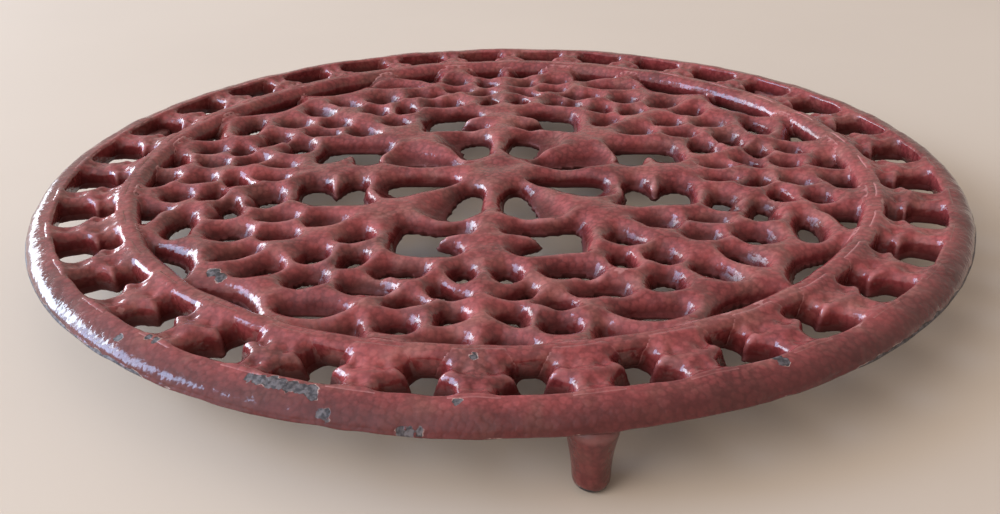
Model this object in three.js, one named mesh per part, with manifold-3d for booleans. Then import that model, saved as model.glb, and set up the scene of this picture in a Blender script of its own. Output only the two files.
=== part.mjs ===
// Round lace trivet in enamelled cast iron, on three short feet.
// Millimetres, +Z up. The origin is on the floor, under the middle of the disc.
// The arms of the lace pattern lie along X and Y.
import * as THREE from 'three';
import { mergeVertices } from 'three/addons/utils/BufferGeometryUtils.js';
import Module from 'manifold-3d';

const wasm = await Module();
wasm.setup();

// Driving dimensions, in millimetres.
const discRadius = 110;        // sharp outer edge of the rim
const rimWidth = 6.8;          // from the border openings to the outer edge
const borderWidth = 12.2;      // length of the border bars
const beadWidth = 5.5;         // raised bead between the lace and the border
const footHeight = 12;         // from the floor to the underside of the disc
const laceThickness = 4.7;
const barThickness = 5.2;
const rimThickness = 5.8;
const beadHeight = 6.2;        // underside to the bead's crest
const beadRoundIn = 2.7;       // from the lace side in to the level crest that pots stand on
const beadFallIn = 3.0;        // and down from the crest
const beadRoundOut = 1.3;      // the same on the border side
const beadFallOut = 1.6;
const rimEdgeLift = 2.4;       // the sharp edge's height above the underside
const rimCrestInset = 6;       // from the outer edge to the rim's crest
const rimCrown = 0.7;          // how far the rim falls from its crest to the openings
const rimUnderBevel = 2.6;     // the underside turns up this far inside the edge
const castSeam = 0.3;          // hairline where two regions of the casting meet
const facets = 64;             // flats round the rim, the bead and the lace
const barCount = 32;
const barRoot = 4.9;           // half width of a bar's top where it runs into the bead
const barNeck = 4.4;           // half width of its hollow beside the bead
const barPoint = 5.4;          // half width at its pointed middle
const barWaist = 3.0;          // half width of its long hollow beside the rim
const barFlare = 4.0;          // half width where it runs into the rim
const barDraft = 1.7;          // a bar's underside is this much wider on each side
const barRound = 0.6;          // chamfer along a bar's top edges
const footCount = 3;
const footBearing = -79.4;     // first foot's direction in degrees, close under a border bar
const footInset = 5;           // foot's axis to the disc's outer edge
const footTopRadius = 4.7;
const footTipRadius = 3.3;
const footSoleRadius = 1.6;
const footTipRound = 2.2;      // height of the rounding above the sole
const footWaistShare = 0.3;    // how much of its taper a foot has at half its height
const footSides = 20;
const holeDraft = 0.5;         // each lace hole is this much tighter at the underside
const holeFlare = 0.4;         // and this much wider at the top edge
const holeFlareDepth = 0.6;

// Levels and radii that follow from them.
const undersideZ = footHeight;
const laceTopZ = undersideZ + laceThickness;
const rimInner = discRadius - rimWidth;
const beadOuter = rimInner - borderWidth;
const beadInner = beadOuter - beadWidth;
const laceRadius = beadInner - castSeam;
const rimEdgeZ = undersideZ + rimEdgeLift;
const rimTopZ = undersideZ + rimThickness;
const percent = beadInner / 100;
const runOut = 4;              // how far an open hole is drawn past the bead's inner face
const pastEdge = beadInner + runOut;

// Enamel and iron.
const enamel = (name, tint) => {
  const material = new THREE.MeshStandardMaterial({ color: tint, roughness: 0.28, metalness: 0 });
  material.name = name;
  return material;
};
const bodyTint = '#7a3b35';
const deepTint = '#6b302b';
const ironTint = '#3b3634';

// The lace is one eighth of a pattern, turned and mirrored round the middle.
// Each hole is a closed curve through a few points: [across the arm, out along the arm],
// in hundredths of the lace's radius.
const laceHoles = {
  petal: {
    steps: 14,
    points: [[3.2, 12.9], [3, 26.9], [5.4, 31.8], [10.1, 33.9], [15.4, 33], [19.1, 29.2], [18.7, 24.6],
      [15.7, 20.1], [13.6, 17.1], [11.2, 12.4], [6.8, 9.8]],
  },
  window: {
    steps: 19,
    points: [[3.6, 39.1], [5.5, 42.8], [9.6, 44.3], [6.2, 47], [5.7, 51.5], [8.4, 54.7], [12.9, 55.2],
      [17.5, 54.5], [22.9, 53.3], [24.9, 49.1], [25, 38.6], [23.5, 33.2], [18.7, 33.9], [12.9, 35.6],
      [7, 35.4]],
  },
  armDrop: {
    steps: 7,
    points: [[2.1, 66], [4.9, 69.7], [8, 66.9], [8.5, 62.5], [5.4, 59.5], [2.2, 61.3]],
  },
  armBean: {
    steps: 10,
    points: [[13.5, 62.7], [15.9, 66.9], [18.7, 67.3], [21.3, 66], [24.3, 66.9], [27, 64.3],
      [27.4, 60.1], [24, 57.9], [18.1, 58], [14.3, 59.5]],
  },
  armBud: {
    steps: 8,
    points: [[2.6, 75.3], [6.1, 77.9], [10.5, 76.3], [12.4, 72], [10.4, 68.8], [6.3, 71.8]],
  },
  fanBean: {
    steps: 10,
    points: [[19.8, 71.8], [22.2, 75.2], [24.6, 75.9], [27.3, 74.9], [30.6, 75.3], [33.7, 73.2],
      [33.9, 69], [30.4, 67], [23.9, 68.4]],
  },
  fanBud: {
    steps: 8,
    points: [[11.7, 78.6], [14.5, 81.2], [18.9, 82], [21.9, 80.2], [20.8, 76], [15.7, 74.7]],
  },
  leafLow: {
    steps: 8,
    points: [[2.6, 84.9], [5.4, 88.4], [9.1, 89.6], [10.3, 85.6], [8.7, 80.9], [4.2, 81.4]],
  },
  leafHigh: {
    steps: 8,
    points: [[13.2, 89.6], [15, 92.6], [18.7, 92.9], [21.9, 91.1], [22.5, 86.8], [18.2, 84.2],
      [13.9, 86.1]],
  },
  sideSlit: {
    steps: 8,
    points: [[29.4, 58], [32, 61.8], [35.3, 62], [36.3, 56.8], [34.4, 51.9], [30.4, 52.2]],
  },
  sideDrop: {
    steps: 8,
    points: [[29.6, 44], [31.6, 47.7], [35.6, 48.9], [39.1, 46.5], [37.7, 41.2], [32.3, 38.1]],
  },
  sideEgg: {
    steps: 8,
    points: [[38.5, 54.3], [40, 58.2], [44, 59.5], [47.3, 56.8], [46.1, 51], [40.5, 49.4]],
  },
  sideOval: {
    steps: 8,
    points: [[37.3, 67.4], [38.8, 71.6], [42.6, 73], [46.3, 70.6], [47.1, 65.5], [42.8, 61.8],
      [38.6, 63.2]],
  },
  cornerOval: {
    steps: 8,
    points: [[49, 61.5], [51.7, 65.4], [56.4, 67.5], [59.9, 66], [58.2, 60.7], [53.6, 56.6],
      [49.8, 57.5]],
  },
  bigOval: {
    steps: 10,
    points: [[29, 81.2], [31.8, 84.7], [37, 86.1], [43, 84.9], [46.9, 81.6], [45.8, 78.6], [40.5, 77.7],
      [33.2, 78.4]],
  },
};
// These holes run out to the bead, which closes them: only their inner side is drawn.
const openHoles = {
  rimLeaf: {
    steps: 7,
    points: [[13.1, 99.2], [12.6, 95.9], [8.7, 93.6], [4.2, 91.9], [1.9, 93.8], [1.8, 99.2]],
  },
  rimThorn: {
    steps: 7,
    points: [[40, 91.5], [35.6, 90.3], [30.4, 88.7], [26.8, 86.8], [24.9, 90.5], [25, 96.7]],
  },
  rimCorner: {
    steps: 8,
    points: [[70.4, 71], [65.5, 70.6], [59.2, 71.6], [54.3, 74.2], [51, 79.5], [47.8, 87.8]],
  },
};

const flat = (radius) => radius / Math.cos(Math.PI / facets);

// Points along the smooth curve through a hole's drawn points, at the lace's real size.
function curvePoints({ points, steps }, closed) {
  const knots = points.map(([across, out]) => new THREE.Vector3(across, out, 0).multiplyScalar(percent));
  const curve = new THREE.CatmullRomCurve3(knots, closed, 'centripetal');
  return curve.getPoints(steps).map((p) => new THREE.Vector2(p.x, p.y));
}

// Closed outline of a hole, counted anticlockwise.
function holeOutline(hole) {
  return anticlockwise(curvePoints(hole, true).slice(0, -1));
}

// Outline of a hole that runs out past the edge of the lace.
function openOutline(hole) {
  const inner = curvePoints(hole, false);
  const push = (p) => p.clone().setLength(pastEdge);
  const first = push(inner[0]);
  const last = push(inner[inner.length - 1]);
  const middle = push(first.clone().add(last));
  return anticlockwise([...inner, last, middle, first]);
}

function anticlockwise(outline) {
  return THREE.ShapeUtils.area(outline) < 0 ? outline.reverse() : outline;
}

// Moves every point of an outline outward by a distance.
function grow(outline, distance) {
  const count = outline.length;
  return outline.map((point, i) => {
    const before = outline[(i + count - 1) % count];
    const after = outline[(i + 1) % count];
    const along = after.clone().sub(before).normalize();
    return new THREE.Vector2(point.x + along.y * distance, point.y - along.x * distance);
  });
}

// Joins rings of equally many points into one closed body. The section, seen flat,
// tells how to fill the two end faces.
function loft(rings, section) {
  const size = section.length;
  const index = [];
  for (let level = 0; level + 1 < rings.length; level += 1) {
    for (let i = 0; i < size; i += 1) {
      const a = level * size + i;
      const b = level * size + ((i + 1) % size);
      index.push(a, b, b + size, a, b + size, a + size);
    }
  }
  const top = (rings.length - 1) * size;
  for (const [a, b, c] of THREE.ShapeUtils.triangulateShape(section, [])) {
    index.push(a, c, b, top + a, top + b, top + c);
  }
  const geometry = new THREE.BufferGeometry();
  geometry.setAttribute('position', new THREE.Float32BufferAttribute(rings.flat(2), 3));
  geometry.setIndex(index);
  return geometry;
}

// A turned body whose flats face the border bars: profile points are [radius, z].
function turned(profile, sides = facets, sized = flat) {
  const points = profile.map(([radius, z]) => new THREE.Vector2(sized(radius), z));
  const start = Math.PI / sides;
  const geometry = new THREE.LatheGeometry(points, sides, start, 2 * Math.PI);
  return weld(geometry.rotateX(Math.PI / 2));
}

function weld(geometry) {
  geometry.deleteAttribute('normal');
  geometry.deleteAttribute('uv');
  return mergeVertices(geometry, 1e-4);
}

function toSolid(geometry) {
  const welded = weld(geometry);
  return new wasm.Manifold(new wasm.Mesh({
    numProp: 3,
    vertProperties: new Float32Array(welded.attributes.position.array),
    triVerts: new Uint32Array(welded.index.array),
  }));
}

function fromSolid(solid) {
  const mesh = solid.getMesh();
  const geometry = new THREE.BufferGeometry();
  geometry.setAttribute('position', new THREE.BufferAttribute(new Float32Array(mesh.vertProperties), 3));
  geometry.setIndex(new THREE.BufferAttribute(new Uint32Array(mesh.triVerts), 1));
  return geometry;
}

// The eight places of a hole: four arms, each with a left and a right hand.
function eightfold(outline) {
  const places = [];
  for (let arm = 0; arm < 4; arm += 1) {
    const turn = (arm * Math.PI) / 2;
    for (const hand of [1, -1]) {
      const centre = new THREE.Vector2(0, 0);
      const copy = outline.map((p) => new THREE.Vector2(p.x * hand, p.y).rotateAround(centre, turn));
      places.push(anticlockwise(copy));
    }
  }
  return places;
}

// A hole through the lace: tight below, with a flared top edge.
function holeCutter(outline) {
  const margin = 1;
  const levels = [
    [undersideZ - margin, -holeDraft],
    [undersideZ, -holeDraft],
    [laceTopZ - holeFlareDepth, 0],
    [laceTopZ, holeFlare],
    [laceTopZ + margin, holeFlare],
  ];
  return loft(levels.map(([z, by]) => grow(outline, by).map((p) => [p.x, p.y, z])), outline);
}

function lacePanel() {
  const slab = [[0, undersideZ], [laceRadius, undersideZ], [laceRadius, laceTopZ], [0, laceTopZ]];
  let panel = toSolid(turned(slab));
  const outlines = [
    ...Object.values(laceHoles).map(holeOutline),
    ...Object.values(openHoles).map(openOutline),
  ];
  for (const outline of outlines.flatMap(eightfold)) {
    panel = panel.subtract(toSolid(holeCutter(outline)));
  }
  return fromSolid(panel);
}

// Points on a quarter ellipse, from its side to its top. A negative reach turns it round.
function quarterArc(centreX, centreZ, reach, rise, steps) {
  return Array.from({ length: steps + 1 }, (_, i) => {
    const angle = (i / steps) * (Math.PI / 2);
    return [centreX + reach * Math.cos(angle), centreZ + rise * Math.sin(angle)];
  });
}

function beadRing() {
  const crestZ = undersideZ + beadHeight;
  return turned([
    [beadInner, undersideZ],
    [beadOuter, undersideZ],
    ...quarterArc(beadOuter - beadRoundOut, crestZ - beadFallOut, beadRoundOut, beadFallOut, 3),
    ...quarterArc(beadInner + beadRoundIn, crestZ - beadFallIn, -beadRoundIn, beadFallIn, 3).reverse(),
    [beadInner, undersideZ],
  ]);
}

function outerRim() {
  const crest = discRadius - rimCrestInset;
  return turned([
    [rimInner, undersideZ],
    [discRadius - rimUnderBevel, undersideZ],
    ...quarterArc(crest, rimEdgeZ, rimCrestInset, rimTopZ - rimEdgeZ, 4),
    ...quarterArc(crest, rimTopZ - rimCrown, rimInner - crest, rimCrown, 3).reverse().slice(1),
    [rimInner, undersideZ],
  ]);
}

// One border bar along +X: wide beside the bead, pointed, then drawn in to a long hollow beside the rim.
function borderBar() {
  const start = beadOuter + castSeam;
  const end = rimInner - castSeam;
  const shoulder = (barWaist + barPoint) / 2;
  // Each station is a share of the bar's length and its half width there.
  const stations = [
    [0, barRoot], [0.12, barNeck], [0.26, barNeck], [0.4, barPoint], [0.48, barPoint],
    [0.62, shoulder], [0.78, barWaist], [0.92, barWaist], [1, barFlare],
  ];
  const topZ = undersideZ + barThickness;
  const section = (half) => [
    [half + barDraft, undersideZ], [half, topZ - barRound], [half - barRound, topZ],
    [barRound - half, topZ], [-half, topZ - barRound], [-half - barDraft, undersideZ],
  ];
  const rings = stations.map(([share, half]) => {
    const x = start + (end - start) * share;
    return section(half).map(([y, z]) => [x, y, z]);
  });
  return loft(rings, section(barRoot).map(([y, z]) => new THREE.Vector2(y, z)));
}

// A foot tapers to its tip, which is rounded round a small flat sole.
function foot() {
  const tip = quarterArc(footSoleRadius, footTipRound, footTipRadius - footSoleRadius, -footTipRound, 3);
  const waistRadius = footTipRadius + (footTopRadius - footTipRadius) * footWaistShare;
  return turned([
    [0, 0],
    ...tip.reverse(),
    [waistRadius, footHeight / 2],
    [footTopRadius, footHeight],
    [0, footHeight],
  ], footSides, (radius) => radius);
}

function place(group, name, geometry, material, bearing = 0, radius = 0) {
  const mesh = new THREE.Mesh(geometry, material);
  const angle = THREE.MathUtils.degToRad(bearing);
  mesh.name = name;
  mesh.position.set(radius * Math.cos(angle), radius * Math.sin(angle), 0);
  mesh.rotation.z = angle;
  group.add(mesh);
}

const trivet = new THREE.Group();
place(trivet, 'lace_panel', lacePanel(), enamel('lace enamel', bodyTint));
place(trivet, 'bead_ring', beadRing(), enamel('bead enamel', bodyTint));
place(trivet, 'outer_rim', outerRim(), enamel('rim enamel', bodyTint));

const barStep = 360 / barCount;
const barShape = borderBar();
for (let i = 0; i < barCount; i += 1) {
  const name = `border_bar_${String(i + 1).padStart(2, '0')}`;
  place(trivet, name, barShape.clone(), enamel('bar enamel', deepTint), i * barStep);
}

const footStep = 360 / footCount;
const footOrbit = discRadius - footInset;
const footShape = foot();
for (let i = 0; i < footCount; i += 1) {
  const bearing = footBearing + i * footStep;
  const finish = enamel('foot enamel', ironTint);
  place(trivet, `foot_${i + 1}`, footShape.clone(), finish, bearing, footOrbit);
}

export default trivet;
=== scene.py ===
"""Looks of a round lace trivet in enamelled cast iron, on three short feet.

Sizes are in millimetres and become metres where a mesh is made. The origin is on the floor under
the middle of the disc, +Z is up, and the four arms of the lace lie along X and Y.
"""

from __future__ import annotations

import logging
import math
from dataclasses import dataclass, field
from enum import Enum
from functools import reduce
from typing import Callable, Sequence

import bpy
import numpy as np
from mathutils import Matrix, Vector


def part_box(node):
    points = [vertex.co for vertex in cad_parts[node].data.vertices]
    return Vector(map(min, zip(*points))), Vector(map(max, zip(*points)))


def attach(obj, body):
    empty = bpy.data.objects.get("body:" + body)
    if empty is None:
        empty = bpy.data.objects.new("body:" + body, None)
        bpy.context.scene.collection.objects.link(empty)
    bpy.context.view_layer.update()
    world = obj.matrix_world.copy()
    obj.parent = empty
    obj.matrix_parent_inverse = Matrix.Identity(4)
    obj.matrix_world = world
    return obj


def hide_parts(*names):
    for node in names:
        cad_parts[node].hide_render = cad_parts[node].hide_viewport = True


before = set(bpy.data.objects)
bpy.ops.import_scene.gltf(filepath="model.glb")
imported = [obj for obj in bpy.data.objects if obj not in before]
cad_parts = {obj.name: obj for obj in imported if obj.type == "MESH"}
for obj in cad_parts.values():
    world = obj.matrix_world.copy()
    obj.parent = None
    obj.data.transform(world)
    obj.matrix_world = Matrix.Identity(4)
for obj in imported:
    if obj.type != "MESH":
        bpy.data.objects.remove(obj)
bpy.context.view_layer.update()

MM = 0.001
BODY = "root"
log = logging.getLogger("trivet")

FILLET_DIP = 0.07  # slope at which a fillet's far edge sinks under its neighbour's skin
FILLET_DIP_START = 0.7  # where that slope begins, as a share of the fillet's run
FILLET_END = 1.15  # where the fillet ends, as a share of its run
HOLE_KEPT = 0.6  # a small hole tightens by at most this share of its half width
CURVE_STEPS = 8  # points on each span of a hole's outline
COLOUR_A, COLOUR_B, COLOUR_OUT = 6, 7, 2  # the colour sockets of a Mix node
LEAST = 1e-3  # stands in for zero, under a division or where a turned solid meets its axis
TINY = 1e-12  # stands in for the square of a zero length under a division

Field = Callable[[np.ndarray, np.ndarray, np.ndarray], np.ndarray]
Rows = np.ndarray


class Edge(Enum):
    """How the outline of a hole in the lace ends."""

    CLOSED = "closed"
    UNDER_BEAD = "under bead"


class Slot(Enum):
    """Which finish a piece takes: the enamel of the disc or that of the feet."""

    BODY = "body_enamel"
    FOOT = "foot_enamel"


@dataclass(frozen=True)
class Hole:
    """One hole in an eighth of the lace.

    The points are [across the arm, out along the arm], in hundredths of the lace's radius. The low
    points are the hole's outline at the underside, where it differs in shape.
    """

    name: str
    points: Sequence[Sequence[float]]
    edge: Edge = Edge.CLOSED
    low_points: Sequence[Sequence[float]] = ()


LACE_HOLES = (
    Hole("petal", ((3.2, 12.9), (3, 26.9), (5.4, 31.8), (10.1, 33.9), (15.4, 33), (19.1, 29.2),
                   (18.7, 24.6), (15.7, 20.1), (13.6, 17.1), (11.2, 12.4), (6.8, 9.8)),
         low_points=((3.6, 13.2), (3.4, 26), (4.6, 29.5), (6.6, 30.2), (8.4, 28), (8.8, 24),
                     (8.8, 20), (8.3, 16), (7.4, 12.4), (6.2, 10.8), (4.6, 11.2))),
    Hole("window", ((3.6, 39.1), (5.2, 42.2), (10.5, 43.6), (12.2, 44.6), (10, 46.2), (6.6, 48),
                    (5.7, 51.5), (8.4, 54.7), (12.9, 55.2), (17.5, 54.5), (22.9, 53.3),
                    (24.9, 49.1), (25, 38.6), (23.5, 33.2), (18.7, 33.9), (12.9, 35.6), (7, 35.4)),
         low_points=((6.5, 39.2), (8.5, 41.8), (15.5, 44.6), (9.5, 47.6), (8, 51), (9.4, 53.6),
                     (12.9, 54.2), (17.3, 53.4), (21.6, 52), (22.8, 48.5), (22.8, 39.5), (21.6, 35.6),
                     (18.7, 36), (13.4, 37.4), (8.8, 37.2))),
    Hole("arm drop", ((2.1, 66), (4.9, 69.7), (8, 66.9), (8.5, 62.5), (5.4, 59.5), (2.2, 61.3))),
    Hole("arm bean", ((13.5, 62.7), (15.9, 66.9), (18.7, 67.3), (21.3, 66), (24.3, 66.9), (27, 64.3),
                      (27.4, 60.1), (24, 57.9), (18.1, 58), (14.3, 59.5))),
    Hole("arm bud", ((2.6, 75.3), (6.1, 77.9), (10.5, 76.3), (12.4, 72), (10.4, 68.8), (6.3, 71.8))),
    Hole("fan bean", ((19.8, 71.8), (22.2, 75.2), (24.6, 75.9), (27.3, 74.9), (30.6, 75.3),
                      (33.7, 73.2), (33.9, 69), (30.4, 67), (23.9, 68.4))),
    Hole("fan bud", ((11.7, 78.6), (14.5, 81.2), (18.9, 82), (21.9, 80.2), (20.8, 76), (15.7, 74.7))),
    Hole("low leaf", ((2.6, 84.9), (5.4, 88.4), (9.1, 89.6), (10.3, 85.6), (8.7, 80.9), (4.2, 81.4))),
    Hole("high leaf", ((13.2, 89.6), (15, 92.6), (18.7, 92.9), (21.9, 91.1), (22.5, 86.8),
                       (18.2, 84.2), (13.9, 86.1))),
    Hole("side slit", ((29.4, 58), (32, 61.8), (35.3, 62), (36.3, 56.8), (34.4, 51.9), (30.4, 52.2))),
    Hole("side drop", ((29.6, 44), (31.6, 47.7), (35.6, 48.9), (39.1, 46.5), (37.7, 41.2),
                       (32.3, 38.1))),
    Hole("side egg", ((38.5, 54.3), (40, 58.2), (44, 59.5), (47.3, 56.8), (46.1, 51), (40.5, 49.4))),
    Hole("side oval", ((37.3, 67.4), (38.8, 71.6), (42.6, 73), (46.3, 70.6), (47.1, 65.5),
                       (42.8, 61.8), (38.6, 63.2))),
    Hole("corner oval", ((49, 61.5), (51.7, 65.4), (56.4, 67.5), (59.9, 66), (58.2, 60.7),
                         (53.6, 56.6), (49.8, 57.5))),
    Hole("big oval", ((29, 81.2), (31.8, 84.7), (37, 86.1), (43, 84.9), (46.9, 81.6), (45.8, 78.6),
                      (40.5, 77.7), (33.2, 78.4))),
    Hole("rim leaf", ((13.1, 99.2), (12.6, 95.9), (8.7, 93.6), (4.2, 91.9), (1.9, 93.8), (1.8, 99.2)),
         Edge.UNDER_BEAD),
    Hole("rim thorn", ((40, 91.5), (35.6, 90.3), (30.4, 88.7), (26.8, 86.8), (24.9, 90.5), (25, 96.7)),
         Edge.UNDER_BEAD),
    Hole("rim corner", ((70.4, 71), (65.5, 70.6), (59.2, 71.6), (54.3, 74.2), (51, 79.5), (47.8, 87.8)),
         Edge.UNDER_BEAD),
)


def linear_colour(code: str) -> tuple[float, float, float, float]:
    """Turns an sRGB hex colour into linear values.

    Args:
        code: colour such as "#7a3b35".

    Returns:
        Linear red, green and blue, and an alpha of 1.
    """
    shares = [int(code[i:i + 2], 16) / 255 for i in (1, 3, 5)]
    red, green, blue = (s / 12.92 if s <= 0.04045 else ((s + 0.055) / 1.055) ** 2.4 for s in shares)
    return red, green, blue, 1.0


def smooth_union(first: Rows, second: Rows, reach: float) -> Rows:
    """Joins two fields with a fillet.

    Args:
        first: field of one solid, negative inside, in millimetres.
        second: field of the other.
        reach: how far the fillet runs, in millimetres.

    Returns:
        Field of the welded solid.
    """
    near = np.clip((reach - np.abs(first - second)) / reach, 0, 1)
    return np.minimum(first, second) - near * near * reach / 4


def oval(across: Rows, along: Rows, wide: float, tall: float) -> Rows:
    """Distance to the quarter ellipse that rounds an edge.

    Args:
        across: distance from its centre along the first axis, never negative.
        along: distance from its centre along the second.
        wide: half axis along the first axis.
        tall: half axis along the second.

    Returns:
        About the distance in millimetres, negative inside.
    """
    share = np.maximum(np.hypot(across / wide, along / tall), LEAST)
    slope = np.maximum(np.hypot(across / wide ** 2, along / tall ** 2) / share, LEAST)
    return (share - 1) / slope


def rounded_edge(side: Rows, level: Rows, width: float, height: float) -> Rows:
    """Cuts a solid by a wall and a level face, with an elliptical edge between them.

    Args:
        side: distance past the wall.
        level: distance past the level face.
        width: how far the rounding reaches in from the wall.
        height: how far it reaches from the level face.

    Returns:
        Field of the rounded solid, negative inside.
    """
    return oval(np.maximum(side + width, 0), np.maximum(level + height, 0), width, height)


def weld(iron: Rows, neighbour: Rows, fillet: float) -> Rows:
    """Joins a piece to its neighbour with a fillet that ends just under the neighbour's skin.

    Args:
        iron: field of the piece.
        neighbour: field of the neighbour.
        fillet: how far the fillet runs, in millimetres.

    Returns:
        Field of both together.
    """
    dip = FILLET_DIP * np.maximum(iron - FILLET_DIP_START * fillet, 0)
    return smooth_union(iron, neighbour + dip, fillet)


def common(*fields: Rows) -> Rows:
    """Field of what several solids have in common."""
    return reduce(np.maximum, fields)


def hump(share: Rows, centre: float, width: float) -> Rows:
    """A smooth bump of height 1 at a centre, falling off within a width."""
    return np.exp(-((share - centre) / width) ** 2)


def eased(value: Rows) -> Rows:
    """A value held between 0 and 1, with a soft start and end."""
    share = np.clip(value, 0, 1)
    return share * share * (3 - 2 * share)


@dataclass(frozen=True)
class Bump:
    """A smooth bump or hollow on a bar: its height, where it stands and how fast it falls off."""

    height: float
    centre: float
    width: float

    def at(self, share: Rows) -> Rows:
        """Its height at places along the bar."""
        return self.height * hump(share, self.centre, self.width)


class Wander:
    """Slow random drift of the surface, as a hand-rammed sand mould gives."""

    ORIGIN = 1000.0  # where in the lattice the drawing's origin lies, in cells

    def __init__(self, seed: int, cells: int = 24) -> None:
        """Draws the random lattice.

        Args:
            seed: seed of the random numbers.
            cells: lattice cells before the drift repeats.
        """
        self.cells = cells
        self.table = np.random.default_rng(seed).uniform(-1, 1, (cells, cells, cells, 3))

    def at(self, points: Rows, size: float) -> Rows:
        """Reads the drift.

        Args:
            points: rows of x, y and z in millimetres.
            size: size of one swell in millimetres.

        Returns:
            Rows of three values between -1 and 1.
        """
        place = points / size + self.ORIGIN
        base = np.floor(place).astype(int)
        share = place - base
        share = share ** 3 * (share * (share * 6 - 15) + 10)
        total = np.zeros_like(points)
        for corner in np.ndindex(2, 2, 2):
            index = (base + corner) % self.cells
            weight = np.prod(np.where(np.array(corner) == 1, share, 1 - share), axis=1)
            total += self.table[index[:, 0], index[:, 1], index[:, 2]] * weight[:, None]
        return total


@dataclass(frozen=True)
class Casting:
    """Main sizes of the casting, in millimetres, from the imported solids."""

    disc_radius: float
    bead_outer: float
    underside: float
    lace_top: float
    bead_crest: float
    rim_crest: float
    bead_width: float = 5.5
    rim_width: float = 6.8

    @classmethod
    def from_frame(cls) -> Casting:
        """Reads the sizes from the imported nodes.

        Returns:
            The casting's sizes in millimetres.
        """
        rim_low, rim_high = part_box("outer_rim")
        bead_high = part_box("bead_ring")[1]
        lace_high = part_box("lace_panel")[1]
        return cls(
            disc_radius=rim_high.x / MM,
            bead_outer=bead_high.x / MM,
            underside=rim_low.z / MM,
            lace_top=lace_high.z / MM,
            bead_crest=bead_high.z / MM,
            rim_crest=rim_high.z / MM,
        )

    @property
    def bead_inner(self) -> float:
        """Radius of the bead's inner foot."""
        return self.bead_outer - self.bead_width

    @property
    def rim_inner(self) -> float:
        """Radius where the border openings end."""
        return self.disc_radius - self.rim_width


@dataclass(frozen=True)
class Swell:
    """One size of the surface's drift: how far it moves a point, and its size, in millimetres."""

    move: float
    size: float
    offset: float = 0.0  # where in the random lattice it is read, so that two sizes don't go together


@dataclass(frozen=True)
class Unevenness:
    """How the hand-made casting strays from its drawn shape, in millimetres.

    The rim's crest and inner wall are a little oval. Slow swells move the lace and the bars, and
    the rim and the bead less. It depends on the place alone, so pieces that touch move alike.
    """

    plan: Casting
    wander: Wander
    swells: tuple[Swell, ...] = (Swell(0.42, 8.0), Swell(0.24, 3.6, 50.0))
    true_share: float = 0.45  # how freely rim and bead move, as a share of the lace
    low_share: float = 0.35  # how freely the underside moves, as a share of the top
    low_height: float = 2.0  # height over which that share grows to 1
    border_run: float = 4.5  # how far the loose middle of the border reaches
    lace_inset: float = 2.0  # where the lace starts to be loose, inwards from the bead
    lace_run: float = 4.0  # how far it takes from there to be wholly loose
    oval: float = 0.9  # how far the rim strays from a circle
    oval_start: float = 6.0  # where that begins, outwards from the bead
    oval_end: float = 4.0  # where it dies away, inwards from the outer edge
    flat_height: float = 0.02  # a point no higher than this above the underside keeps its height
    headroom: float = 0.01  # what a rising point leaves free under the highest crest
    crest_gap: float = 0.005  # least room under the highest crest
    edge_gap: float = 0.05  # least room inside the outer edge

    def out_of_round(self, points: Rows, radius: Rows) -> Rows:
        """How far the rim's crest and inner wall lie outside their mean circle.

        The outer edge and the middle of the border stay round.

        Args:
            points: rows of x, y and z in millimetres.
            radius: distance of each point from the axis.

        Returns:
            Distances in millimetres.
        """
        bearing = np.arctan2(points[:, 1], points[:, 0])
        start = self.plan.bead_outer + self.oval_start
        rise = eased((radius - start) / (self.plan.rim_inner - start))
        fall = eased((self.plan.disc_radius - radius) / self.oval_end)
        return self.oval * np.cos(2 * bearing) * rise * fall

    def freedom(self, radius: Rows, z: Rows) -> Rows:
        """How far the swells may move a point, as a share: least at bead, rim and underside.

        Args:
            radius: distance of each point from the axis.
            z: height of each point in millimetres.

        Returns:
            Shares from 0 to 1.
        """
        border = (self.plan.bead_outer + self.plan.rim_inner) / 2
        free_share = 1 - self.true_share
        loose = self.true_share + free_share * hump(radius, border, self.border_run)
        inwards = np.clip((self.plan.bead_inner - self.lace_inset - radius) / self.lace_run, 0, 1)
        loose = np.maximum(loose, self.true_share + free_share * inwards)
        above = np.clip((z - self.plan.underside) / self.low_height, 0, 1)
        return loose * (self.low_share + (1 - self.low_share) * above)

    def move(self, points: Rows) -> Rows:
        """Moves a piece's surface by the casting's unevenness.

        Args:
            points: rows of x, y and z in millimetres.

        Returns:
            The moved rows, kept inside the casting's own height and width.
        """
        radius = np.hypot(points[:, 0], points[:, 1])
        stretch = 1 + self.out_of_round(points, radius) / np.maximum(radius, 1)
        points = points * stretch[:, None] ** (1, 1, 0)
        drift = sum(swell.move * self.wander.at(points + swell.offset, swell.size)
                    for swell in self.swells)
        moved = points + self.freedom(radius, points[:, 2])[:, None] * drift
        height = points[:, 2]
        seated = height <= self.plan.underside + self.flat_height
        moved[:, 2] = np.where(seated, height, moved[:, 2])
        room = np.maximum(self.plan.bead_crest - self.headroom - height, LEAST)
        rise = moved[:, 2] - height
        moved[:, 2] = height + np.where(rise > 0, room * np.tanh(rise / room), rise)
        moved[:, 2] = np.minimum(moved[:, 2], self.plan.bead_crest - self.crest_gap)
        widest = self.plan.disc_radius - self.edge_gap
        moved[:, :2] /= np.maximum(np.hypot(moved[:, 0], moved[:, 1]) / widest, 1)[:, None]
        return moved


CASTING = Casting.from_frame()
UNEVEN = Unevenness(CASTING, Wander(seed=11))


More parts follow.
